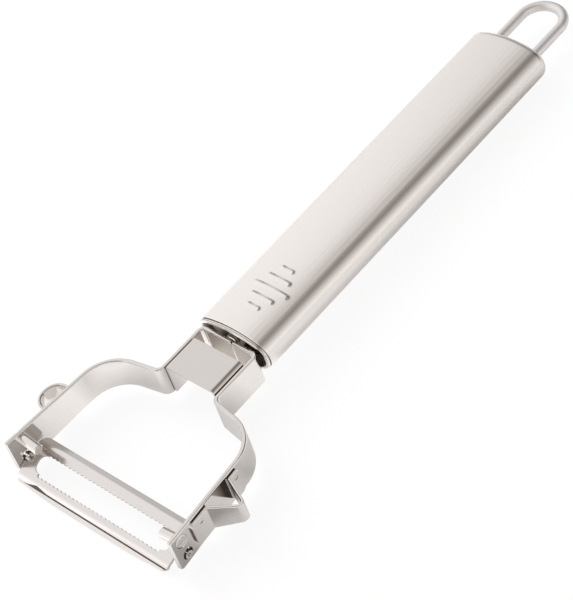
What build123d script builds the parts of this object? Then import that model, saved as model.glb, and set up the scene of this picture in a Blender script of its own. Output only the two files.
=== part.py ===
"""Y-shaped vegetable peeler: oval steel handle, two bent strip arms, swinging slotted blade.

Working frame of the sizes below: y runs along the handle from the tube's front rim, the head is
at negative y, x is across, and z is measured from the middle of the arm strips.
"""
import os
from math import atan2, cos, degrees, hypot, radians, sin, sqrt, tan

from build123d import *

os.makedirs("parts", exist_ok=True)

# Driving dimensions, mm
# Handle tube
handle_half_width = 13.5
handle_half_thick = 6.9
handle_side_radius = 5.6
handle_length = 128.2
handle_wall = 0.9
handle_rise = 2.3
handle_rim_bevel = 0.15

# Grip grooves pressed across the top of the tube, near the head
groove_lengths = (5.8, 9.6, 14.0, 9.6, 5.8)
groove_pitch = 3.8
groove_middle_y = 16.6
groove_middle_x = 0.9
groove_radius = 1.25
groove_depth = 0.45

# Front cap, stud and collar that tie the head to the handle
front_cap_step = 0.3
front_cap_seam = 0.2
front_cap_reach = 1.0
front_cap_depth = 9.0
front_cap_rim = 1.3
front_cap_slope = 1.7
front_cap_recess = 2.4
front_cap_round = 0.4
stud_radius = 1.8
stud_depth = 7.0
collar_radius = 3.1
collar_bevel = 0.2

# Rear cap and hanging loop
rear_cap_dome = 3.1
rear_cap_round = 2.6
rear_cap_plug = 8.0
loop_wire = 3.2
loop_half_width = 7.2
loop_reach = 24.6
loop_root = 6.5

# Arm strips
arm_sheet = 1.35
arm_width = 10.9
tip_half_width = 32.5
tip_y = -62.0
hip_half_width = 30.55
hip_y = -36.3
shoulder_y = -22.7
shoulder_slope = 9.2
shoulder_radius = 12.6
neck_half_width = 11.1
neck_radius = 1.4
flange_y = -1.1
flange_corner_radius = 2.6
flange_seam_x = 1.25
flange_seam_half = 0.05
left_flange_corner = 1.9
right_flange_corner = 0.8
arm_tip_bottom = -6.9
arm_edge_bevel = 0.25
arm_tip_round = 1.2

# Neck clip, a folded channel between the arms
clip_sheet = 1.0
clip_length = 12.0
clip_rear_y = -6.6
clip_top = 6.3
clip_bottom = -5.0
clip_bend = 2.0

# Blade and its pivots
pivot_back = 4.0
pivot_z = -3.55
pivot_hole_radius = 1.85
trunnion_sag = 0.45
trunnion_radius = 1.3
trunnion_bore = 0.55
trunnion_slit = 0.5
trunnion_reach = 0.3
trunnion_root = 1.3
blade_sheet = 0.8
blade_front = 8.35
blade_end_rise = 0.8
blade_end_run = 14.0
blade_end_bend = 100.0
blade_rear = 7.15
blade_left = 30.3
blade_right = 28.5
blade_tilt = 21.0
blade_drop = 0.35
front_shoulder = 5.6
front_shoulder_radius = 1.4
front_crease = 6.85
front_crease_drop = 1.4
front_crease_radius = 0.5
front_lip_drop = 0.3
rear_shoulder = 5.3
rear_shoulder_radius = 2.2
rear_lip_drop = 1.4
blade_rear_corner = 2.0
blade_left_corner = 0.9
blade_right_corner = 3.6
slot_left = 26.9
slot_right = 26.0
slot_front = 3.0
slot_rear = 2.4
slot_corner = 2.3
edge_left = 24.4
edge_right = 23.6
edge_front = 3.65
edge_rear = 2.65
tooth_pitch = 1.6
tooth_depth = 0.4

# Stop posts riveted through the arm tips above the pivots
left_post_back = 5.2
left_post_z = 2.7
left_post_reach = 7.1
right_post_back = 3.7
right_post_z = 2.1
right_post_reach = 5.4
post_radius = 1.6
post_head_radius = 2.25
post_head_thick = 0.35
post_bevel = 0.25

# Eye removers on the outer faces of the arms, spot welded at their feet
weld_radius = 0.9
weld_depth = 0.15
weld_z = 2.4
eye_sheet = 0.9
eye_top = 4.3
eye_bottom = -4.7
eye_bend = 0.9
eye_foot_corner = 2.0
point_rear_foot = 28.9
point_rear_base = 24.4
point_apex = 19.8
point_reach = 8.9
point_front_base = 14.8
point_front_foot = 7.7
point_tip_radius = 0.8
point_apex_bottom = -2.2
round_rear_foot = 29.0
round_rear_base = 24.0
round_front_base = 15.6
round_front_foot = 10.2
round_reach = 5.0
round_corner = 4.0

# One overrun for all cuts
cut_over = 5.0


# Derived places
arm_lean = atan2(tip_half_width - hip_half_width, hip_y - tip_y)
strip_top = arm_width / 2
pivot_y = tip_y + pivot_back * cos(arm_lean)
tilt = radians(blade_tilt)
loop_centre_y = handle_length + loop_reach - loop_half_width


def flat_arc_radius(half_width, half_thick, side_radius):
    """Radius of the oval's flat arcs, tangent to its side arcs."""
    side_x = half_width - side_radius
    return (side_x**2 + half_thick**2 - side_radius**2) / (2 * (half_thick - side_radius))


def on_face(side, back, out):
    """Across and along place of a point `back` from the tip and `out` from an arm's outer face."""
    across = tip_half_width - back * sin(arm_lean) + out * cos(arm_lean)
    along = tip_y + back * cos(arm_lean) + out * sin(arm_lean)
    return side * across, along


def blade_place(u, n):
    """Along and up place of a blade point `u` rearwards and `n` upwards of the pivot."""
    return pivot_y + u * cos(tilt) - n * sin(tilt), pivot_z + u * sin(tilt) + n * cos(tilt)


# The part's origin: middle of its box across and along, and its lowest point, the blade's front lip
crease_n = -blade_drop - front_crease_drop
front_lip_n = crease_n - front_lip_drop
front_end = blade_place(-blade_front, front_lip_n)[0]
lip_angle = atan2(front_lip_drop, blade_front - front_crease)
lowest = blade_place(-blade_front, front_lip_n - blade_sheet / cos(lip_angle))[1]
rear_end = loop_centre_y + loop_half_width + loop_wire / 2
point_half_angle = atan2((point_rear_base - point_front_base) / 2, point_reach)
point_centre_out = point_reach - point_tip_radius / sin(point_half_angle)
point_outer = on_face(1, point_apex, point_centre_out)[0] + point_tip_radius + eye_sheet
round_corner_out = round_reach - round_corner
round_corner_back = round_front_base + round_corner
round_outer = on_face(1, round_corner_back, round_corner_out)[0] + round_corner + eye_sheet
shift = Vector((round_outer - point_outer) / 2, -(front_end + rear_end) / 2, -lowest)


crown_radius = flat_arc_radius(handle_half_width, handle_half_thick, handle_side_radius)
groove_ring = crown_radius + groove_radius - groove_depth


def level(z):
    """Horizontal sketch plane at height z of the working frame."""
    return Plane(origin=shift + Vector(0, 0, z))


def section(y, z=0):
    """Upright sketch plane across the handle, its normal towards the head."""
    return Plane(origin=shift + Vector(0, y, z), x_dir=(1, 0, 0), z_dir=(0, -1, 0))


def face_plane(side, back, up=0, out=0):
    """Sketch plane on an arm's outer face, its x along the arm to the rear, its normal outwards."""
    across, along = on_face(side, back, out)
    run = (-side * sin(arm_lean), cos(arm_lean), 0)
    outwards = (side * cos(arm_lean), sin(arm_lean), 0)
    return Plane(origin=shift + Vector(across, along, up), x_dir=run, z_dir=outwards)


def oval_outline(half_width, half_thick, side_radius):
    """Four tangent arcs: flat arcs above and below, tight arcs at the sides."""
    side_x = half_width - side_radius
    flat_radius = flat_arc_radius(half_width, half_thick, side_radius)
    angle = atan2(side_x, flat_radius - half_thick)
    join = (side_x + side_radius * sin(angle), side_radius * cos(angle))
    with BuildLine() as outline:
        ThreePointArc((-join[0], join[1]), (0, half_thick), join)
        ThreePointArc(join, (half_width, 0), (join[0], -join[1]))
        ThreePointArc((join[0], -join[1]), (0, -half_thick), (-join[0], -join[1]))
        ThreePointArc((-join[0], -join[1]), (-half_width, 0), (-join[0], join[1]))
    return outline.line


def oval(inset):
    """Handle section, drawn in from the tube's outer face by inset."""
    add(oval_outline(handle_half_width - inset, handle_half_thick - inset, handle_side_radius - inset))


# Handle tube, open at both ends, with grip grooves pressed into its top
with BuildPart() as handle_tube:
    with BuildSketch(section(0, handle_rise)):
        with BuildLine():
            oval(0)
        make_face()
        with BuildLine():
            oval(handle_wall)
        make_face(mode=Mode.SUBTRACT)
    extrude(amount=-handle_length)
    chamfer(handle_tube.faces().sort_by(Axis.Y)[0].outer_wire().edges(), handle_rim_bevel)
    for place, length in enumerate(groove_lengths):
        groove_y = groove_middle_y + (place - (len(groove_lengths) - 1) / 2) * groove_pitch
        crown = Location(shift + Vector(0, groove_y, handle_rise + handle_half_thick - crown_radius))
        ends = []
        for way in (-1, 1):
            turn = degrees((groove_middle_x + way * (length / 2 - groove_radius)) / crown_radius)
            ends.append(crown * Location((0, 0, 0), (0, 1, 0), turn) * Location((0, 0, groove_ring)))
        sweep_angle = degrees((length - 2 * groove_radius) / crown_radius)
        with BuildSketch(Plane(ends[1] * Location((0, 0, 0), (0, 1, 0), 90))) as groove_section:
            Circle(groove_radius)
        crown_axis = Axis(crown.position, (0, 1, 0))
        revolve(groove_section.sketch, axis=crown_axis, revolution_arc=-sweep_angle, mode=Mode.SUBTRACT)
        with Locations(*ends):
            Sphere(groove_radius, mode=Mode.SUBTRACT)
handle_tube.part.label = "handle_tube"
export_step(handle_tube.part, "parts/handle_tube.step")


# Front cap: an oval plug with a rounded rim, set off from the tube by a fine seam, and a dished face
with BuildPart() as front_cap:
    with BuildSketch(section(-front_cap_reach, handle_rise)):
        with BuildLine():
            oval(front_cap_step)
        make_face()
    extrude(amount=front_cap_seam - front_cap_reach)
    fillet(front_cap.faces().sort_by(Axis.Y)[0].edges(), front_cap_round)
    with BuildSketch(section(-front_cap_seam, handle_rise)):
        with BuildLine():
            oval(handle_wall)
        make_face()
    extrude(amount=-(front_cap_seam + front_cap_depth))
    with BuildSketch(section(-front_cap_reach, handle_rise)):
        with BuildLine():
            oval(front_cap_rim)
        make_face()
    with BuildSketch(section(front_cap_recess - front_cap_reach, handle_rise)):
        with BuildLine():
            oval(front_cap_rim + front_cap_slope)
        make_face()
    loft(ruled=True, mode=Mode.SUBTRACT)
    with BuildSketch(section(flange_y, handle_rise)):
        Circle(stud_radius)
    extrude(amount=flange_y - stud_depth, mode=Mode.SUBTRACT)
front_cap.part.label = "front_cap"
export_step(front_cap.part, "parts/front_cap.step")


# Neck stud: pin welded to the backs of the arms' flanges and pressed into the front cap
with BuildPart() as neck_stud:
    with BuildSketch(section(flange_y, handle_rise)):
        Circle(stud_radius)
    extrude(amount=flange_y - stud_depth)
neck_stud.part.label = "neck_stud"
export_step(neck_stud.part, "parts/neck_stud.step")


# Neck collar: spacer ring between the flanges and the floor of the cap's recess
collar_length = front_cap_recess - front_cap_reach - flange_y
with BuildPart() as neck_collar:
    with BuildSketch(section(flange_y, handle_rise)):
        Circle(collar_radius)
        Circle(stud_radius, mode=Mode.SUBTRACT)
    extrude(amount=-collar_length)
    outer_rims = neck_collar.edges().filter_by(GeomType.CIRCLE).filter_by(
        lambda rim: abs(rim.radius - collar_radius) < collar_bevel
    )
    chamfer(outer_rims, collar_bevel)
neck_collar.part.label = "neck_collar"
export_step(neck_collar.part, "parts/neck_collar.step")


# Rear cap: domed oval lid with a plug inside the tube and two holes for the loop's legs
with BuildPart() as rear_cap:
    with BuildSketch(section(handle_length, handle_rise)):
        with BuildLine():
            oval(0)
        make_face()
    extrude(amount=-rear_cap_dome)
    fillet(rear_cap.faces().sort_by(Axis.Y)[-1].edges(), rear_cap_round)
    with BuildSketch(section(handle_length - rear_cap_plug, handle_rise)):
        with BuildLine():
            oval(handle_wall)
        make_face()
    extrude(amount=-rear_cap_plug)
    leg_floor_y = handle_length + rear_cap_dome - loop_root
    with BuildSketch(section(leg_floor_y, handle_rise)):
        with Locations((-loop_half_width, 0), (loop_half_width, 0)):
            Circle(loop_wire / 2)
    extrude(amount=-(loop_root + cut_over), mode=Mode.SUBTRACT)
rear_cap.part.label = "rear_cap"
export_step(rear_cap.part, "parts/rear_cap.step")


# Hanging loop: round wire, two straight legs and a half turn
with BuildPart() as hanging_loop:
    with BuildLine(level(handle_rise)) as loop_path:
        leg_left = Line((-loop_half_width, leg_floor_y), (-loop_half_width, loop_centre_y))
        turn = ThreePointArc(
            (-loop_half_width, loop_centre_y),
            (0, loop_centre_y + loop_half_width),
            (loop_half_width, loop_centre_y),
        )
        leg_right = Line((loop_half_width, loop_centre_y), (loop_half_width, leg_floor_y))
    with BuildSketch(section(leg_floor_y, handle_rise)):
        with Locations((-loop_half_width, 0)):
            Circle(loop_wire / 2)
    sweep(path=loop_path.line)
hanging_loop.part.label = "hanging_loop"
export_step(hanging_loop.part, "parts/hanging_loop.step")


def strip_outline(corners, radii, sheet, sheet_side, bottom):
    """Plan of a strip bent along a path of corners, its sheet laid to one side, drawn at bottom."""
    with BuildSketch(level(bottom)) as outline:
        with BuildLine():
            FilletPolyline(*corners, radius=radii)
            offset(amount=sheet, side=sheet_side)
        make_face()
    return outline.sketch


def bent_arm(side, post_back, post_z, flange_corner):
    """One arm: flaring tip, shoulder, neck wall and inward flange, bent from one strip."""
    shoulder_drop = tan(radians(shoulder_slope))
    neck_corner_y = shoulder_y + (hip_half_width - neck_half_width) * shoulder_drop
    lean_slope = tan(arm_lean)
    shoulder_x = hip_half_width - (shoulder_y - hip_y) * lean_slope
    corners = [
        (side * tip_half_width, tip_y),
        (side * shoulder_x, shoulder_y),
        (side * neck_half_width, neck_corner_y),
        (side * neck_half_width, flange_y),
        (flange_seam_x + side * flange_seam_half, flange_y),
    ]
    inner_side = Side.LEFT if side > 0 else Side.RIGHT
    radii = [shoulder_radius, neck_radius, flange_corner_radius]
    with BuildPart() as arm:
        extrude(strip_outline(corners, radii, arm_sheet, inner_side, arm_tip_bottom), amount=strip_top - arm_tip_bottom)
        with BuildSketch(Plane(origin=shift, x_dir=(0, 1, 0), z_dir=(1, 0, 0))):
            taper_y = tip_y - arm_sheet
            with BuildLine():
                Polyline(
                    (taper_y, strip_top),
                    (0, strip_top),
                    (0, -strip_top),
                    (hip_y, -strip_top),
                    (taper_y, arm_tip_bottom),
                    close=True,
                )
            make_face()
        extrude(amount=tip_half_width + cut_over, both=True, mode=Mode.INTERSECT)
        tip_corner = arm.faces().sort_by(Axis.Y)[0].edges().sort_by(Axis.Z)[0]
        fillet(tip_corner, arm_tip_round)
        flange_end = arm.faces().filter_by(Axis.X).sort_by(Axis.X)[-1 if side < 0 else 0]
        fillet(flange_end.edges().filter_by(Axis.Y), flange_corner)
        rims = arm.faces().filter_by(GeomType.PLANE).filter_by(
            lambda face: abs(face.normal_at().Z) > abs(face.normal_at().Y)
        )
        folds = rims.edges().filter_by(Axis.X).group_by(Axis.Y)[0]
        chamfer(rims.edges() - folds, arm_edge_bevel)
        pivot_side = Plane(origin=shift + Vector(0, pivot_y, pivot_z), x_dir=(0, 1, 0), z_dir=(side, 0, 0))
        with BuildSketch(pivot_side):
            Circle(pivot_hole_radius)
        extrude(amount=tip_half_width + cut_over, mode=Mode.SUBTRACT)
        with BuildSketch(face_plane(side, post_back, post_z, -arm_sheet - cut_over)):
            Circle(post_radius)
        extrude(amount=arm_sheet + 2 * cut_over, mode=Mode.SUBTRACT)
        with BuildSketch(face_plane(side, post_back, post_z, -post_head_thick)):
            Circle(post_head_radius)
        extrude(amount=cut_over, mode=Mode.SUBTRACT)
    return arm


left_arm = bent_arm(-1, left_post_back, left_post_z, left_flange_corner)
left_arm.part.label = "left_arm"
export_step(left_arm.part, "parts/left_arm.step")
right_arm = bent_arm(1, right_post_back, right_post_z, right_flange_corner)
right_arm.part.label = "right_arm"
export_step(right_arm.part, "parts/right_arm.step")


# Neck clip: a folded channel, open to the front, rear and below
with BuildPart() as neck_clip:
    clip_half_width = neck_half_width - arm_sheet
    with BuildSketch(section(clip_rear_y)):
        with BuildLine():
            FilletPolyline(
                (-clip_half_width, clip_bottom),
                (-clip_half_width, clip_top),
                (clip_half_width, clip_top),
                (clip_half_width, clip_bottom),
                radius=clip_bend,
            )
            offset(amount=clip_sheet, side=Side.RIGHT)
        make_face()
    extrude(amount=clip_length)
neck_clip.part.label = "neck_clip"
export_step(neck_clip.part, "parts/neck_clip.step")


def stop_post(side, post_back, post_z, post_reach):
    """Post with a thin flat head, riveted through an arm tip."""
    with BuildPart() as post:
        with BuildSketch(face_plane(side, post_back, post_z, -post_head_thick)):
            Circle(post_head_radius)
        extrude(amount=post_head_thick)
        with BuildSketch(face_plane(side, post_back, post_z, -post_head_thick)):
            Circle(post_radius)
        extrude(amount=-(arm_sheet - post_head_thick + post_reach))
        inner_end = post.faces().filter_by(GeomType.PLANE).sort_by(Axis.X)[0 if side > 0 else -1]
        chamfer(inner_end.edges(), post_bevel)
    return post


left_stop_post = stop_post(-1, left_post_back, left_post_z, left_post_reach)
left_stop_post.part.label = "left_stop_post"
export_step(left_stop_post.part, "parts/left_stop_post.step")
right_stop_post = stop_post(1, right_post_back, right_post_z, right_post_reach)
right_stop_post.part.label = "right_stop_post"
export_step(right_stop_post.part, "parts/right_stop_post.step")


def eye_remover(side, corners_back_out, radii, apex_bottom):
    """Strip loop on an arm's outer face: feet flat on the arm, ends rounded, a nose between them."""
    corners = [on_face(side, back, out) for back, out in corners_back_out]
    outer_side = Side.LEFT if side > 0 else Side.RIGHT
    rear_foot = corners_back_out[0][0]
    front_foot = corners_back_out[-1][0]
    with BuildPart() as remover:
        middle = (rear_foot + front_foot) / 2
        height = eye_top - eye_bottom
        extrude(strip_outline(corners, radii, eye_sheet, outer_side, eye_bottom), amount=height)
        with BuildSketch(face_plane(side, middle, (eye_top + eye_bottom) / 2)):
            RectangleRounded(rear_foot - front_foot, height, eye_foot_corner)
        extrude(amount=cut_over + tip_half_width, mode=Mode.INTERSECT)
        for foot_end, foot_base in (corners_back_out[:2], corners_back_out[:-3:-1]):
            foot_middle = (foot_end[0] + foot_base[0]) / 2
            with BuildSketch(face_plane(side, foot_middle, weld_z, eye_sheet - weld_depth)):
                Circle(weld_radius)
            extrude(amount=cut_over, mode=Mode.SUBTRACT)
        if apex_bottom > eye_bottom:
            reach = max(out for back, out in corners_back_out) + eye_sheet
            under = face_plane(side, rear_foot, 0)
            across = Plane(origin=under.origin, x_dir=under.z_dir, z_dir=under.x_dir)
            up = 1 if across.y_dir.Z > 0 else -1
            with BuildSketch(across):
                with BuildLine():
                    Polyline(
                        (eye_sheet, up * eye_bottom),
                        (reach, up * apex_bottom),
                        (reach + cut_over, up * apex_bottom),
                        (reach + cut_over, up * (eye_bottom - cut_over)),
                        (eye_sheet, up * (eye_bottom - cut_over)),
                        close=True,
                    )
                make_face()
            extrude(amount=rear_foot, both=True, mode=Mode.SUBTRACT)
    return remover


left_eye_loop = eye_remover(
    -1,
    [
        (round_rear_foot, 0),
        (round_rear_base, 0),
        (round_rear_base, round_reach),
        (round_front_base, round_reach),
        (round_front_base, 0),
        (round_front_foot, 0),
    ],
    [eye_bend, round_corner, round_corner, eye_bend],
    eye_bottom,
)
left_eye_loop.part.label = "left_eye_loop"
export_step(left_eye_loop.part, "parts/left_eye_loop.step")
right_eye_loop = eye_remover(
    1,
    [
        (point_rear_foot, 0),
        (point_rear_base, 0),
        (point_apex, point_reach),
        (point_front_base, 0),
        (point_front_foot, 0),
    ],
    [eye_bend, point_tip_radius, eye_bend],
    point_apex_bottom,
)
right_eye_loop.part.label = "right_eye_loop"
export_step(right_eye_loop.part, "parts/right_eye_loop.step")


# Blade: arched sheet with folded lips, a slot with two toothed edges and a rolled pin at each end
blade_side = Plane(
    origin=shift + Vector(0, pivot_y, pivot_z), x_dir=(0, cos(tilt), sin(tilt)), z_dir=(1, 0, 0)
)
blade_top = Plane(
    origin=shift + Vector(0, pivot_y, pivot_z), x_dir=(1, 0, 0), z_dir=(0, -sin(tilt), cos(tilt))
)


def toothed(edge, away):
    """Corners of one toothed edge from left to right, the teeth cut away from the slot."""
    count = int((edge_left + edge_right) / tooth_pitch)
    step = (edge_left + edge_right) / count
    corners = []
    for tooth in range(count):
        corners.append((-edge_left + tooth * step, edge))
        corners.append((-edge_left + (tooth + 1 / 2) * step, edge + away * tooth_depth))
    corners.append((edge_right, edge))
    return corners


with BuildPart() as blade:
    with BuildSketch(blade_side.offset(-(blade_left + cut_over))):
        lip_reach = blade_front + cut_over
        rear_reach = blade_rear + cut_over
        rear_slope = rear_lip_drop / (blade_rear - rear_shoulder)
        with BuildLine():
            FilletPolyline(
                (-lip_reach, crease_n - (lip_reach - front_crease) * tan(lip_angle)),
                (-front_crease, crease_n),
                (-front_shoulder, -blade_drop),
                (rear_shoulder, -blade_drop),
                (rear_reach, -blade_drop - (rear_reach - rear_shoulder) * rear_slope),
                radius=[front_crease_radius, front_shoulder_radius, rear_shoulder_radius],
            )
            offset(amount=blade_sheet, side=Side.RIGHT)
        make_face()
    extrude(amount=blade_left + blade_right + 2 * cut_over)
    with BuildSketch(blade_top.offset(-cut_over)):
        flare = cos(tilt) * tan(arm_lean)
        end_u = blade_end_rise - blade_front
        with BuildLine():
            FilletPolyline(
                (-(blade_left - end_u * flare), end_u),
                (blade_end_run - blade_left, -blade_front),
                (blade_right - blade_end_run, -blade_front),
                (blade_right - end_u * flare, end_u),
                (blade_right - blade_rear * flare, blade_rear),
                (-(blade_left - blade_rear * flare), blade_rear),
                close=True,
                radius=[
                    blade_left_corner,
                    blade_end_bend,
                    blade_end_bend,
                    blade_right_corner,
                    blade_rear_corner,
                    blade_rear_corner,
                ],
            )
        make_face()
    extrude(amount=2 * cut_over, mode=Mode.INTERSECT)
    with BuildSketch(blade_top.offset(-cut_over)):
        with Locations(((slot_right - slot_left) / 2, (slot_rear - slot_front) / 2)):
            RectangleRounded(slot_left + slot_right, slot_front + slot_rear, slot_corner)
        with BuildLine():
            Polyline(*toothed(-edge_front, -1), *reversed(toothed(edge_rear, 1)), close=True)
        make_face()
    extrude(amount=2 * cut_over, mode=Mode.SUBTRACT)
    for side, blade_end in ((-1, blade_left), (1, blade_right)):
        with BuildSketch(blade_side.offset(side * (blade_end - trunnion_root))):
            with Locations((-trunnion_sag * sin(tilt), -trunnion_sag * cos(tilt))):
                Circle(trunnion_radius)
                Circle(trunnion_bore, mode=Mode.SUBTRACT)
                Rectangle(
                    trunnion_slit,
                    2 * trunnion_radius,
                    align=(Align.CENTER, Align.MIN),
                    mode=Mode.SUBTRACT,
                )
        pin_end = on_face(1, pivot_back, 0)[0] + trunnion_reach
        extrude(amount=side * (pin_end - blade_end + trunnion_root))
blade.part.label = "blade"
export_step(blade.part, "parts/blade.step")
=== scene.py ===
import math

import bmesh
import bpy
from mathutils import Matrix, Vector


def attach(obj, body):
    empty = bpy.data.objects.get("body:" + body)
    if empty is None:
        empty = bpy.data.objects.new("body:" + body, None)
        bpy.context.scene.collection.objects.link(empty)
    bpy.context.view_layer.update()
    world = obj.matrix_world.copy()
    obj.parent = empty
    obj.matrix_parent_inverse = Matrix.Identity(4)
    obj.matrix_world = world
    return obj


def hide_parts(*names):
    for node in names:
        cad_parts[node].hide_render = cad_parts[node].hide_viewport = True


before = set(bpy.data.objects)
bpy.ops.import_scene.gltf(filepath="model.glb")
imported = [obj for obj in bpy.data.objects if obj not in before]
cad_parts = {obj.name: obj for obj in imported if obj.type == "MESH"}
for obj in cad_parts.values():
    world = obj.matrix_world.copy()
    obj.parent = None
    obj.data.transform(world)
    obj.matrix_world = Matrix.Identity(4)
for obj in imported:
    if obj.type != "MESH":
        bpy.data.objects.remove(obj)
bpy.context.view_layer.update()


# View. The camera stands to the right of the head, looks down along the handle and is rolled a
# little, as found from the handle's parallel edges, the two pivots and the hanging loop.
view_centre = Vector((0.328078, -0.251565, 0.428940))
view_right = Vector((0.738070, 0.632293, -0.235496))
view_up = Vector((-0.365582, 0.668108, 0.648059))
view_back = Vector((0.567100, -0.392220, 0.724266))
film_side = 36.0
focal_share = 3.403237

camera_data = bpy.data.cameras.new("view")
camera_data.sensor_fit = "VERTICAL"
camera_data.sensor_height = film_side
camera_data.lens = focal_share * film_side
camera_data.clip_start = 0.01
camera_data.clip_end = 20
camera = bpy.data.objects.new("view", camera_data)
turn = Matrix((view_right, view_up, view_back)).transposed().to_4x4()
camera.matrix_world = Matrix.Translation(view_centre) @ turn
bpy.context.scene.collection.objects.link(camera)
bpy.context.scene.camera = camera


# Handle tube. Stainless steel tube drawn to an oval and belt-sanded along its length, with five
# soft grip ribs across its top near the head, each lower at its middle than at its ends. The
# satin finish shows as fine streaks along the tube and blurs what the tube mirrors.
def linear(hex_colour):
    """Linear colour, with alpha 1, of an sRGB hex value."""
    shares = [int(hex_colour[i:i + 2], 16) / 255 for i in (0, 2, 4)]
    return [s / 12.92 if s <= 0.04045 else ((s + 0.055) / 1.055) ** 2.4 for s in shares] + [1.0]


def add_node(tree, kind, settings=None, values=None, links=None):
    """One node: its settings, the values of its inputs, and links {input: (node, output)}."""
    node = tree.nodes.new(kind)
    for name, value in (settings or {}).items():
        setattr(node, name, value)
    for name, value in (values or {}).items():
        node.inputs[name].default_value = value
    for name, (source, output) in (links or {}).items():
        tree.links.new(source.outputs[output], node.inputs[name])
    return node


def new_material(name):
    """Empty node material with its output; returns the material, its tree and the output."""
    material = bpy.data.materials.new(name)
    material.use_nodes = True
    material.node_tree.nodes.clear()
    output = material.node_tree.nodes.new("ShaderNodeOutputMaterial")
    return material, material.node_tree, output


def steel(name, colour, dark, rough, rough_spread, marks_per_metre, mark_depth,
          waves_per_metre, wave_depth, dark_x=None, plain_x=None):
    """Stainless steel with fine finishing marks and slow waves, both given along x, y and z. It
    can go from its dark colour at one x to the plain one at another."""
    material, tree, output = new_material(name)
    place = add_node(tree, "ShaderNodeTexCoord")
    fine = add_node(tree, "ShaderNodeMapping", values={"Scale": marks_per_metre},
                    links={"Vector": (place, "Object")})
    marks = add_node(tree, "ShaderNodeTexNoise",
                     values={"Scale": 1.0, "Detail": 3.0, "Roughness": 0.6},
                     links={"Vector": (fine, "Vector")})
    broad = add_node(tree, "ShaderNodeMapping", values={"Scale": waves_per_metre},
                     links={"Vector": (place, "Object")})
    waves = add_node(tree, "ShaderNodeTexNoise",
                     values={"Scale": 1.0, "Detail": 1.0, "Roughness": 0.4},
                     links={"Vector": (broad, "Vector")})
    blend = (marks, "Fac")
    if dark_x is not None:
        axes = add_node(tree, "ShaderNodeSeparateXYZ", links={"Vector": (place, "Object")})
        blend = (add_node(tree, "ShaderNodeMapRange",
                          values={"From Min": dark_x, "From Max": plain_x},
                          links={"Value": (axes, "X")}), "Result")
    tint = add_node(tree, "ShaderNodeMix", {"data_type": "RGBA"},
                    {6: linear(dark), 7: linear(colour)}, {"Factor": blend})
    rough_map = add_node(tree, "ShaderNodeMapRange",
                         values={"To Min": rough - rough_spread, "To Max": rough + rough_spread},
                         links={"Value": (marks, "Fac")})
    wave_bump = add_node(tree, "ShaderNodeBump", values={"Strength": 1.0, "Distance": wave_depth},
                         links={"Height": (waves, "Fac")})
    bump = add_node(tree, "ShaderNodeBump", values={"Strength": 1.0, "Distance": mark_depth},
                    links={"Height": (marks, "Fac"), "Normal": (wave_bump, "Normal")})
    surface = add_node(tree, "ShaderNodeBsdfPrincipled", values={"Metallic": 1.0},
                       links={"Base Color": (tint, 2), "Roughness": (rough_map, "Result"),
                              "Normal": (bump, "Normal")})
    tree.links.new(surface.outputs["BSDF"], output.inputs["Surface"])
    return material


def merged_form(node_name):
    """Merged copy of a CAD node's mesh, its flat faces joined."""
    form = bmesh.new()
    form.from_mesh(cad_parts[node_name].data)
    bmesh.ops.remove_doubles(form, verts=form.verts, dist=0.000002)
    bmesh.ops.dissolve_limit(form, angle_limit=math.radians(0.2), verts=form.verts,
                             edges=form.edges)
    return form


def finish_piece(form, node_name, body, material, crease):
    """Makes the form the piece that stands for a CAD node, smooth but at its creases."""
    for face in form.faces:
        face.smooth = True
    for edge in form.edges:
        edge.smooth = edge.calc_face_angle(0.0) < math.radians(crease)
    mesh = bpy.data.meshes.new(node_name + "_finished")
    form.to_mesh(mesh)
    form.free()
    mesh.materials.append(material)
    piece = bpy.data.objects.new(node_name + "_finished", mesh)
    bpy.context.scene.collection.objects.link(piece)
    weighted = piece.modifiers.new("even_shading", "WEIGHTED_NORMAL")
    weighted.keep_sharp = True
    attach(piece, body)
    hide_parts(node_name)
    return piece


belt_sanded_steel = steel("belt_sanded_stainless", "F1EDEA", "EDE8E5", 0.28, 0.03,
                          (3500, 90, 3500), 0.0000003, (40, 12, 40), 0.00001)
tube_middle = -0.001491
tube_top = 0.018418
tube_top_radius = 0.03025
upper_half_start = 0.012
rib_lengths = (0.0058, 0.0096, 0.0140, 0.0096, 0.0058)
rib_pitch = 0.0038
ribs_middle = (-0.000591, -0.028064)
rib_half_width = 0.0011
rib_height = 0.00034
# how much lower the dip in a rib is, and its middle and reach in shares of the rib's half length
rib_dip = 0.6
dip_middle = 0.1
dip_reach = 0.65
# the ribs' zone, where the tube's top is cut into small faces
zone_front = ribs_middle[1] - 2 * rib_pitch - 2 * rib_half_width
zone_rear = ribs_middle[1] + 2 * rib_pitch + 2 * rib_half_width
zone_half_width = 0.0084
zone_rows = 66
zone_columns = 42
column_width = 0.0004
groove_reach = 0.0006

tube = merged_form("handle_tube")


def on_top(face):
    """True for a face on the tube's top, where the ribs are."""
    return face.normal.z > 0.5 and face.calc_center_median().z > upper_half_start


def cut_top(form, across, at):
    """Cuts the tube's top by an upright plane."""
    faces = [face for face in form.faces if on_top(face)]
    edges = {edge for face in faces for edge in face.edges}
    verts = {vert for face in faces for vert in face.verts}
    place = (at, 0, 0) if across else (0, at, 0)
    facing = (1, 0, 0) if across else (0, 1, 0)
    bmesh.ops.bisect_plane(form, geom=[*verts, *edges, *faces], dist=0.0000005, plane_co=place,
                           plane_no=facing)


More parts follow.
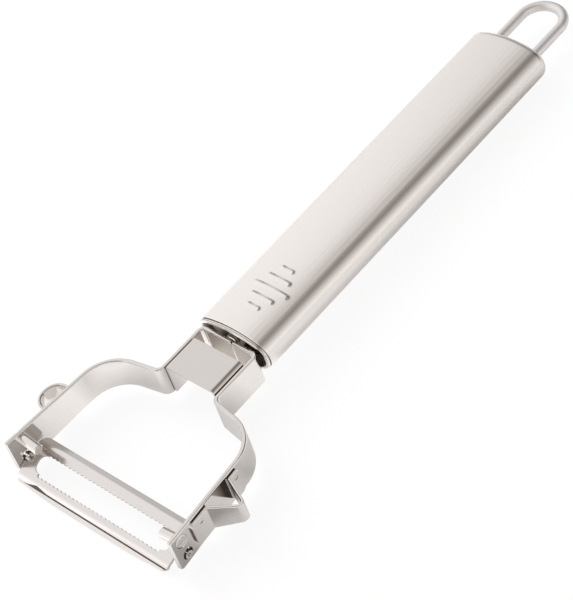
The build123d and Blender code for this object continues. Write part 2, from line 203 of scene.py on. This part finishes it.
for step in range(zone_rows + 1):
    cut_top(tube, False, zone_front + (zone_rear - zone_front) * step / zone_rows)
for step in range(zone_columns + 1):
    cut_top(tube, True, ribs_middle[0] - zone_half_width + column_width * step)
for vert in tube.verts:
    aside = vert.co.x - tube_middle
    skin = tube_top - tube_top_radius + math.sqrt(tube_top_radius ** 2 - aside ** 2)
    off_middle = abs(vert.co.x - ribs_middle[0])
    in_zone = zone_front < vert.co.y < zone_rear and off_middle < zone_half_width + 0.0002
    if not in_zone or vert.co.z < skin - groove_reach:
        continue
    rise = 0.0
    for row, length in enumerate(rib_lengths):
        past_end = max(off_middle - (length / 2 - rib_half_width), 0)
        off_line = vert.co.y - (ribs_middle[1] + (row - 2) * rib_pitch)
        off = min(math.hypot(past_end, off_line) / rib_half_width, 1)
        along = (vert.co.x - ribs_middle[0]) / (length / 2)
        low = rib_dip * max(1 - ((along - dip_middle) / dip_reach) ** 2, 0)
        rise += rib_height * (1 - low) * math.cos(off * math.pi / 2) ** 2
    vert.co.z = skin + rise
finish_piece(tube, "handle_tube", "frame", belt_sanded_steel, 30)


# Caps. The front one is a turned oval plug whose polished rim stands a little proud of the tube
# round a dull, dished face, and the rear one is a domed lid, sanded with the tube so that the two
# look alike. Both are pressed into the tube. The dished face is painted darker and the seam behind
# the rim dark, both as painted shade.
def faces_where(form, wanted):
    """Indices of the form's wanted faces."""
    return [index for index, face in enumerate(form.faces) if wanted(face)]


def give_faces(piece, indices, material):
    """Gives the piece's faces with these indices one more material."""
    piece.data.materials.append(material)
    for index in indices:
        piece.data.polygons[index].material_index = len(piece.data.materials) - 1


bright_steel = steel("polished_stainless", "E6E1DE", "DCD6D3", 0.12, 0.03,
                     (1800, 1800, 1800), 0.0000008, (90, 90, 90), 0.00002)
# dull turned steel for the front cap's recess and the flanges' fronts: rough as turned, and darker
# as painted shade
turned_and_shaded_steel = steel("turned_stainless_painted_shade", "C2B9B1", "A59B92", 0.5, 0.05,
                     (2500, 2500, 2500), 0.000002, (200, 200, 200), 0.00001)
# brown-grey painted shade, for seams, crevices, pivot holes' walls, a crease and a groove's front,
# where shade falls
painted_shade_steel = steel("painted_shade_on_stainless", "6A5F57", "453C36", 0.4, 0.05,
                  (1500, 1500, 1500), 0.000002, (200, 200, 200), 0.00001)
front_cap = merged_form("front_cap")
cap_front = min(vert.co.y for vert in front_cap.verts)
rim_rear = cap_front + 0.0008
seam_widening = 0.00015
for vert in front_cap.verts:
    if abs(vert.co.y - rim_rear) < 0.00002:
        vert.co.y -= seam_widening
seam_front = rim_rear - 0.0002
seam_rear = rim_rear + 0.00025
recess_front = cap_front + 0.0002
recess_rear = cap_front + 0.0035
recess_half_width = 0.0128


def in_recess(face):
    """True for the faces inside the front cap's rim."""
    middle = face.calc_center_median()
    return (recess_front < middle.y < recess_rear and face.normal.y < -0.02
            and abs(middle.x - tube_middle) < recess_half_width)


seam = faces_where(front_cap, lambda face: seam_front < face.calc_center_median().y < seam_rear)
recess = faces_where(front_cap, in_recess)
front_piece = finish_piece(front_cap, "front_cap", "frame", bright_steel, 50)
# painted shade: the dished face inside the rim gets the darker turned steel
give_faces(front_piece, recess, turned_and_shaded_steel)
# painted shade: a dark band on the seam behind the rim
give_faces(front_piece, seam, painted_shade_steel)
finish_piece(merged_form("rear_cap"), "rear_cap", "frame", belt_sanded_steel, 50)


# Hanging loop. Drawn stainless wire bent into a U, its two legs pressed into the rear cap. Its
# skin is fine but not polished, so what it mirrors runs along it in soft bands.
drawn_wire = steel("drawn_stainless_wire", "F1EFEE", "EBE9E8", 0.5, 0.03,
                   (2500, 300, 2500), 0.0000008, (60, 60, 60), 0.00001)
finish_piece(merged_form("hanging_loop"), "hanging_loop", "frame", drawn_wire, 50)


# Neck pin and collar. Turned and polished stainless pin that ties the arms' flanges to the front
# cap, with a plain ring on it as a spacer. Both glint in the dark of the cap's recess.
finish_piece(merged_form("neck_stud"), "neck_stud", "frame", bright_steel, 40)
finish_piece(merged_form("neck_collar"), "neck_collar", "frame", bright_steel, 40)


# Arms. Two strips of stainless sheet bent in a press and tumbled until their rims are round. The
# bright finish mirrors sharply, with the slight waves that bending leaves; the flanges' fronts
# are duller and painted darker as shade, and the walls of the pivot holes are painted dark as the
# shade round the blade's pins.
def cut_form(form, place, facing, clear_outer=False):
    """Cuts the form by a plane; returns what the cut made."""
    return bmesh.ops.bisect_plane(form, geom=[*form.verts, *form.edges, *form.faces],
                                  dist=0.0000001, plane_co=place, plane_no=facing,
                                  clear_outer=clear_outer)["geom_cut"]


def largest_face(form, wanted):
    """The largest of the form's wanted faces."""
    return max((face for face in form.faces if wanted(face)), key=lambda face: face.calc_area())


rim_turns = [math.radians(degrees) for degrees in (0, 17, 34, 50, 64)]
rim_corner = 0.00012


def round_top_rim(form, sheet):
    """Cuts an upright strip half its sheet below its top and closes it with a half-round rim."""
    top = max(vert.co.z for vert in form.verts)
    made = cut_form(form, (0, 0, top - sheet / 2), (0, 0, 1), clear_outer=True)
    corners = [item for item in made if isinstance(item, bmesh.types.BMVert)]
    bmesh.ops.remove_doubles(form, verts=corners, dist=rim_corner)
    outline = [edge for edge in form.edges if edge.is_boundary]
    cap = bmesh.ops.contextual_create(form, geom=outline)["faces"]
    bmesh.ops.recalc_face_normals(form, faces=form.faces)
    for before, after in zip(rim_turns, rim_turns[1:]):
        inward = sheet / 2 * (math.cos(before) - math.cos(after))
        upward = sheet / 2 * (math.sin(after) - math.sin(before))
        bmesh.ops.inset_region(form, faces=cap, thickness=inward, depth=upward, use_boundary=True,
                               use_even_offset=True)


tumbled_strip = steel("tumbled_stainless_strip", "DEDAD7", "D2CDC9", 0.09, 0.03,
                      (1500, 1500, 1500), 0.0000008, (110, 110, 110), 0.00003)
arm_sheet = 0.00135
hole_y = -0.102675
hole_z = 0.005668
hole_reach = 0.00195


def in_hole(face):
    """True for the walls of an arm's pivot hole."""
    middle = face.calc_center_median()
    return (abs(face.normal.x) < 0.3
            and math.hypot(middle.y - hole_y, middle.z - hole_z) < hole_reach)


for arm_name in ("left_arm", "right_arm"):
    arm = merged_form(arm_name)
    round_top_rim(arm, arm_sheet)
    walls = faces_where(arm, in_hole)
    flange = largest_face(arm, lambda face: face.normal.y < -0.99).index
    arm_piece = finish_piece(arm, arm_name, "frame", tumbled_strip, 40)
    # painted shade: the pivot holes' walls get the dark brown-grey steel
    give_faces(arm_piece, walls, painted_shade_steel)
    # the flange's front gets the duller turned steel, whose darker colour is painted shade
    give_faces(arm_piece, [flange], turned_and_shaded_steel)


# Neck clip. A folded sheet channel pressed between the arms' neck walls, plain on top. Its rolled
# finish is smoother than the arms', and next to their walls it drops into a crevice, whose shade
# is painted dark onto the clip's sides.
folded_sheet = steel("folded_stainless_sheet", "D6D1CE", "CFC9C6", 0.12, 0.03,
                     (1800, 500, 1800), 0.0000004, (120, 120, 120), 0.00002)
clip_rim_round = 0.00015
crevice_width = 0.0003
clip = merged_form("neck_clip")
clip_rims = [edge for edge in clip.edges if edge.calc_face_angle(0.0) > math.radians(50)]
bmesh.ops.bevel(clip, geom=clip_rims, offset=clip_rim_round, offset_type="OFFSET", segments=2,
                profile=0.5, affect="EDGES", material=-1, clamp_overlap=True)
clip_sides = [vert.co.x for vert in clip.verts]
crevice = (max(clip_sides) - min(clip_sides)) / 2 - crevice_width
for side in (-1, 1):
    cut_form(clip, (tube_middle + side * crevice, 0, 0), (1, 0, 0))
crevice_shade_faces = faces_where(clip, lambda face: abs(face.calc_center_median().x - tube_middle) > crevice)
clip_piece = finish_piece(clip, "neck_clip", "frame", folded_sheet, 40)
# painted shade: the clip's sides next to the arms' walls get the dark brown-grey steel
give_faces(clip_piece, crevice_shade_faces, painted_shade_steel)


# Eye removers. Strips folded into a rounded loop and a pointed one, each spot-welded by its two
# feet to the outside of an arm. They are tumbled like the arms. The halves of the feet's ends next
# to the arm and the pointed one's rim where it faces the arm are painted dark as shade, and the
# inside of the pointed one's rear leg is painted darker towards the arm as shade.
eye_sheet = 0.0009
shaded_share = 0.45
leg_area = 0.00002
# painted shade: dark brown at the arm, fading to the plain colour 4 mm out from it
shade_gradient_strip = steel("stainless_painted_shade_gradient", "C9C2BC", "3A322C", 0.3, 0.05,
                       (1500, 1500, 1500), 0.0000008, (200, 200, 200), 0.00001, 0.0312, 0.0352)
for eye_name, side in (("left_eye_loop", -1), ("right_eye_loop", 1)):
    eye = merged_form(eye_name)
    seat = largest_face(eye, lambda face: face.normal.x * side < -0.95)
    seat_place, seat_facing = seat.calc_center_median(), seat.normal.copy()
    cut_form(eye, seat_place - shaded_share * eye_sheet * seat_facing, seat_facing)
    round_top_rim(eye, eye_sheet)
    rim_start = max(vert.co.z for vert in eye.verts) - eye_sheet / 2

    def shaded_foot_end(face):
        """True for the half of a foot's end next to the arm."""
        depth = seat_facing.dot(seat_place - face.calc_center_median())
        return (abs(face.normal.y) > 0.97 and abs(face.normal.x) < 0.15
                and depth < shaded_share * eye_sheet)

    def shaded_rim(face):
        """True for the part of the pointed one's rim that faces the arm."""
        return side > 0 and face.calc_center_median().z > rim_start and face.normal.x < -0.2

    def rear_leg(face):
        """True for the inner side of the pointed one's rear leg."""
        return (side > 0 and face.normal.y < -0.85 and face.normal.x < -0.3
                and face.calc_area() > leg_area)

    shaded_faces = faces_where(eye, lambda face: shaded_foot_end(face) or shaded_rim(face))
    inside = faces_where(eye, rear_leg)
    eye_piece = finish_piece(eye, eye_name, "frame", tumbled_strip, 40)
    # painted shade: the feet's ends next to the arm and the rim facing it get the dark brown-grey
    # steel
    give_faces(eye_piece, shaded_faces, painted_shade_steel)
    # painted shade on the inner side of the pointed one's rear leg
    give_faces(eye_piece, inside, shade_gradient_strip)


# Stop posts. Turned pins riveted through the arms' tips above the pivots. Their polished heads
# keep the rings of the rivet tool, and the front of the groove round the edge is painted dark as
# shade.
groove_step = -0.00012
# inward and upward steps over the head, from its edge
head_steps = ((0.00015, 0), (0.00018, groove_step), (0.00012, 0.0001), (0.0006, 0),
              (0.0001, -0.00006), (0.0001, 0.00006))
arc_front = 0.0006
for post_name, side in (("left_stop_post", -1), ("right_stop_post", 1)):
    post = merged_form(post_name)
    head = largest_face(post, lambda face: face.normal.x * side > 0.9)
    arc_limit = head.calc_center_median().y - arc_front
    dark_arc = []
    for inward, upward in head_steps:
        ring = bmesh.ops.inset_region(post, faces=[head], thickness=inward, depth=upward,
                                      use_even_offset=True)["faces"]
        if upward == groove_step:
            dark_arc = [face for face in ring if face.calc_center_median().y < arc_limit]
    post.faces.index_update()
    dark_arc = [face.index for face in dark_arc]
    post_piece = finish_piece(post, post_name, "frame", bright_steel, 40)
    # painted shade on the front arc of the groove round the head
    give_faces(post_piece, dark_arc, painted_shade_steel)


# Blade. Hardened stainless strip with a toothed slot, folded lips and a rolled pin at each end,
# ground and polished along its length, so that it mirrors in broad soft bands. The crease of its
# front lip is painted dark as shade, and the painted band runs out into a thin wedge at the left
# end.
honed_steel = steel("ground_stainless_blade", "E5E1DF", "DBD6D4", 0.18, 0.03,
                    (300, 2500, 2500), 0.0000008, (60, 120, 120), 0.00002)
blade = merged_form("blade")
crease_front = -0.10868
crease_rear = -0.10834
wedge_end = -0.0205
wedge_corner = -0.0302
wedge_rear_slope = 0.085
wedge_front_slope = 0.12
strip_left = -0.0302
strip_right = 0.0285
for place, facing in (((0, crease_front, 0), (0, 1, 0)), ((0, crease_rear, 0), (0, 1, 0)),
                      ((wedge_end, crease_rear, 0), (wedge_rear_slope, 1, 0)),
                      ((wedge_end, 0, 0), (1, 0, 0)),
                      ((wedge_corner, crease_front, 0), (-wedge_front_slope, 1, 0))):
    cut_form(blade, place, facing)


def in_crease(face):
    """True for the upper faces between the crease's front and rear lines."""
    middle = face.calc_center_median()
    rear_limit = min(crease_rear + wedge_rear_slope * max(wedge_end - middle.x, 0),
                     crease_front + wedge_front_slope * (middle.x - wedge_corner))
    return face.normal.z > 0.15 and crease_front < middle.y < rear_limit


def pin_end(face):
    """True for the ends of the two pins, past the strip's own ends."""
    return abs(face.normal.x) > 0.9 and not strip_left < face.calc_center_median().x < strip_right


creased = faces_where(blade, in_crease)
pin_ends = faces_where(blade, pin_end)
blade_piece = finish_piece(blade, "blade", "swing_blade", honed_steel, 40)
# painted shade in the front lip's crease
give_faces(blade_piece, creased, painted_shade_steel)
# the pins' ends get the rougher, lighter sanded steel; its lighter colour is a painted highlight
give_faces(blade_piece, pin_ends, belt_sanded_steel)


# Table. A plain white top that the peeler lies on, front end of the blade and rear end of the
# handle touching it. It looks white to the camera and keeps a faint shadow.
floor_half = 3.0
floor_tilt = math.radians(1.37)
floor_front = -0.10944
floor_gap = 0.0002
bpy.ops.mesh.primitive_plane_add(size=2 * floor_half)
floor = bpy.context.object
floor.name = "table_top"
lean = (Matrix.Translation((0, floor_front, -floor_gap))
        @ Matrix.Rotation(floor_tilt, 4, "X"))
floor.data.transform(lean)


def fade_stops(ramp, low, high, stops):
    """Sets a colour ramp's stops, given as values between low and high with their colours."""
    elements = ramp.color_ramp.elements
    while len(elements) > 1:
        elements.remove(elements[-1])
    elements[0].position = 0
    elements[0].color = (*stops[0][1], 1)
    for value, colour in stops[1:]:
        stop = elements.new((value - low) / (high - low))
        stop.color = (*colour, 1)


camera_share = 0.85
# painted reflection: how much of its own glow the steel mirrors, along the peeler, standing in for
# shade and light on the table: next to none before the blade, most behind the head and less below
# the handle
mirrored_front = -0.16
mirrored_rear = 0.04
mirrored_shares = ((mirrored_front, 1), (-0.117, 1), (-0.107, .05), (-0.0995, .06), (-0.096, .3),
                   (-0.09, .42), (-0.08, .5), (-0.071, .22), (-0.062, .22), (-0.05, .78),
                   (-0.042, .78), (-0.036, .3), (0.0, .25), (mirrored_rear, .12))
floor_material, tree, output = new_material("white_table")
path = add_node(tree, "ShaderNodeLightPath")
for_camera = add_node(tree, "ShaderNodeMath", {"operation": "MULTIPLY"}, {1: camera_share},
                      {0: (path, "Is Camera Ray")})
place = add_node(tree, "ShaderNodeTexCoord")
along = add_node(tree, "ShaderNodeSeparateXYZ", links={"Vector": (place, "Object")})
share = add_node(tree, "ShaderNodeMapRange",
                 values={"From Min": mirrored_front, "From Max": mirrored_rear},
                 links={"Value": (along, "Y")})
brightness = add_node(tree, "ShaderNodeValToRGB", links={"Fac": (share, "Result")})
fade_stops(brightness, mirrored_front, mirrored_rear,
           [(at, (amount, amount, amount)) for at, amount in mirrored_shares])
# painted reflection: the glow that the steel mirrors is stronger on the left
leftwards = add_node(tree, "ShaderNodeMapRange",
                     values={"From Min": -0.008, "From Max": 0.006, "To Min": 1.7, "To Max": 1.0},
                     links={"Value": (along, "X")})
left_glow = add_node(tree, "ShaderNodeMath", {"operation": "MULTIPLY"},
                     links={0: (leftwards, "Result"), 1: (brightness, "Color")})
for_metal = add_node(tree, "ShaderNodeMath", {"operation": "MULTIPLY", "use_clamp": True},
                     links={0: (path, "Is Glossy Ray"), 1: (left_glow, "Value")})
seen = add_node(tree, "ShaderNodeMath", {"operation": "ADD"},
                links={0: (for_camera, "Value"), 1: (for_metal, "Value")})
matte = add_node(tree, "ShaderNodeBsdfDiffuse", values={"Color": linear("E6E6E6")})
strength = add_node(tree, "ShaderNodeMath", {"operation": "MULTIPLY_ADD"}, {1: 0.35, 2: 1.05},
                    {0: (path, "Is Glossy Ray")})
glow = add_node(tree, "ShaderNodeEmission", values={"Color": linear("FFFFFF")},
                links={"Strength": (strength, "Value")})
mixed = add_node(tree, "ShaderNodeMixShader",
                 links={"Fac": (seen, "Value"), 1: (matte, "BSDF"), 2: (glow, "Emission")})
tree.links.new(mixed.outputs["Shader"], output.inputs["Surface"])
floor.data.materials.append(floor_material)


# Studio. A broad white light from the left horizon to overhead, a dim warm ceiling on the right
# and a pale wall behind it, all of which the steel mirrors, with one soft lamp for the shadow.
world = bpy.data.worlds.new("studio")
bpy.context.scene.world = world
world.use_nodes = True
tree = world.node_tree
tree.nodes.clear()
output = tree.nodes.new("ShaderNodeOutputWorld")
place = add_node(tree, "ShaderNodeTexCoord")
axes = add_node(tree, "ShaderNodeSeparateXYZ", links={"Vector": (place, "Generated")})
# angle from overhead towards the right, in degrees in the stops
angle = add_node(tree, "ShaderNodeMath", {"operation": "ARCTAN2"},
                 links={0: (axes, "X"), 1: (axes, "Z")})
share = add_node(tree, "ShaderNodeMapRange", values={"From Min": -math.pi, "From Max": math.pi},
                 links={"Value": (angle, "Value")})
ramp = add_node(tree, "ShaderNodeValToRGB", links={"Fac": (share, "Result")})
below = (.6, .585, .57)
fade_stops(ramp, -180, 180, [(-180, below), (-95, (.98, .97, .96)), (-75, (1.05, 1.04, 1.03)),
                             (-20, (1.02, 1.01, 1.0)), (-9, (.86, .83, .81)),
                             (-1, (.6, .57, .545)), (8, (.33, .305, .285)),
                             (26, (.22, .2, .185)), (38, (.47, .44, .415)),
                             (60, (.85, .82, .79)), (80, (1.15, 1.13, 1.1)),
                             (95, (1.05, 1.03, 1.0)), (180, below)])
# the room is a little brighter before the head, and dim behind the handle
reach = add_node(tree, "ShaderNodeMapRange", values={"From Min": -1.0, "From Max": 1.0},
                 links={"Value": (axes, "Y")})
dimming = add_node(tree, "ShaderNodeValToRGB", links={"Fac": (reach, "Result")})
room_shares = ((-1, 1.12), (-0.65, 1.12), (-0.5, 1), (0.45, 1), (0.62, .72), (0.74, .32), (1, .32))
fade_stops(dimming, -1, 1, [(at, (amount, amount, amount)) for at, amount in room_shares])
path = add_node(tree, "ShaderNodeLightPath")
studio_light = add_node(tree, "ShaderNodeBackground",
                        links={"Color": (ramp, "Color"), "Strength": (dimming, "Color")})
white = add_node(tree, "ShaderNodeBackground", values={"Color": linear("FFFFFF")})
chosen = add_node(tree, "ShaderNodeMixShader",
                  links={"Fac": (path, "Is Camera Ray"), 1: (studio_light, "Background"),
                         2: (white, "Background")})
tree.links.new(chosen.outputs["Shader"], output.inputs["Surface"])

lamp_data = bpy.data.lights.new("left_softbox", "AREA")
lamp_data.shape = "RECTANGLE"
lamp_data.size = 0.5
lamp_data.size_y = 0.7
lamp_data.energy = 6
lamp = bpy.data.objects.new("left_softbox", lamp_data)
lamp.location = (-0.8, 0.0, 0.75)
lamp.rotation_euler = (Vector((0, 0, 0)) - lamp.location).to_track_quat("-Z", "Y").to_euler()
bpy.context.scene.collection.objects.link(lamp)
lamp.visible_glossy = False

bpy.context.scene.view_settings.view_transform = "Standard"
